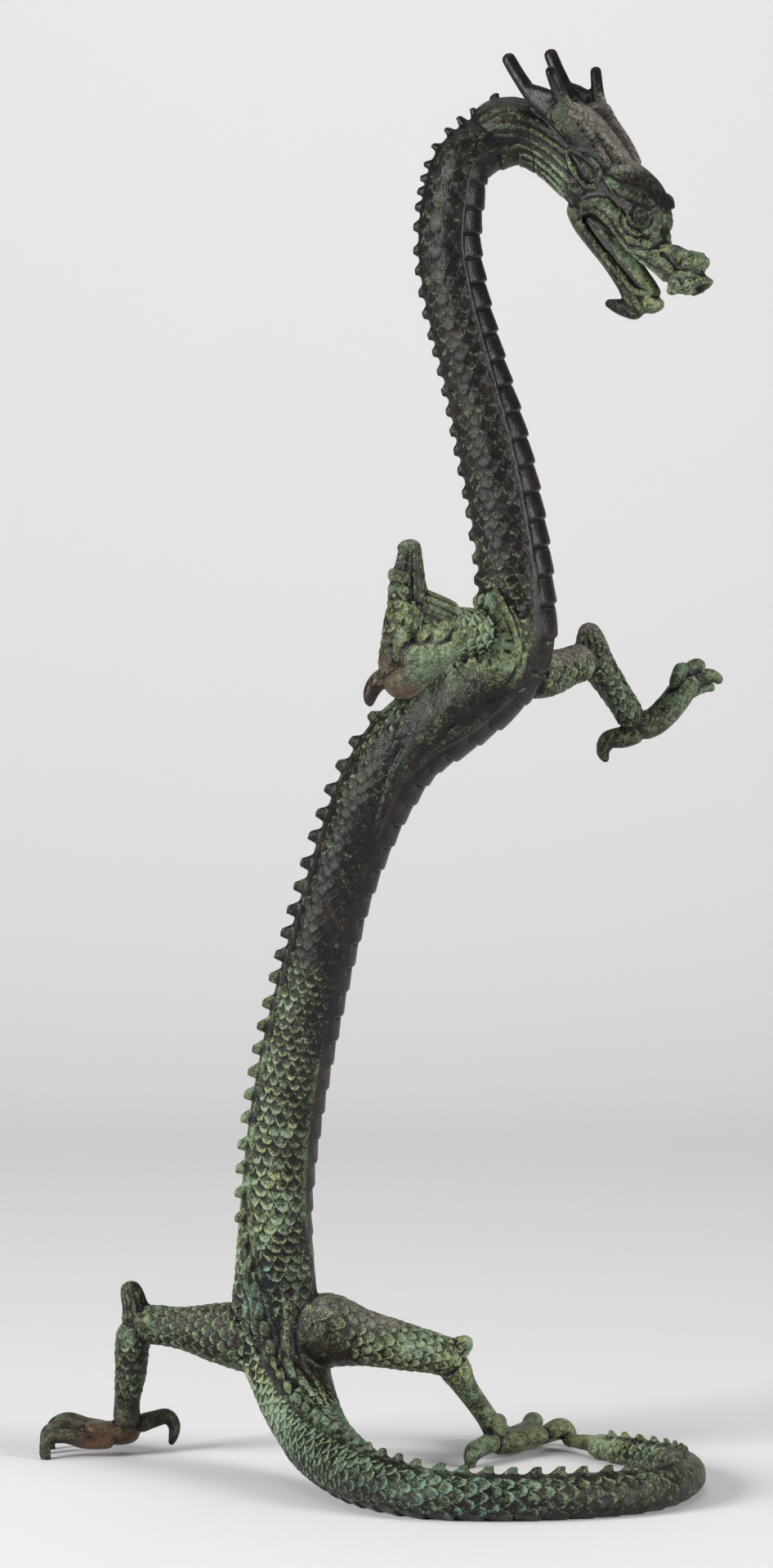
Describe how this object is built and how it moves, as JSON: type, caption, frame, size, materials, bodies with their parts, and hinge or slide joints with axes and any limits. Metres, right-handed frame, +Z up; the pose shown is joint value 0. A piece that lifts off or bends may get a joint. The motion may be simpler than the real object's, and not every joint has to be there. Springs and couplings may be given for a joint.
{
  "type": "dragon sculpture",
  "caption": "Cast bronze dragon standing upright on its hind feet and the curl of its tail, with a scaled snaking body, outheld clawed hands and a bowed horned head.",
  "frame": {"origin": "centre of the bounding box in plan, on the level surface that the feet and the tail stand on", "axes": "+Z up along the standing body, +X the way the head and hands reach, -Y towards the side with the right hand and the tail's near curve"},
  "size_m": [0.2502, 0.1734, 0.512],
  "materials": {
    "verdigris_bronze": "old cast bronze: dark brown under mottled green and turquoise verdigris, worn satin on the belly plates, soles and bends"
  },
  "bodies": {
    "root": {"dragon": "verdigris_bronze"}
  },
  "joints": []
}
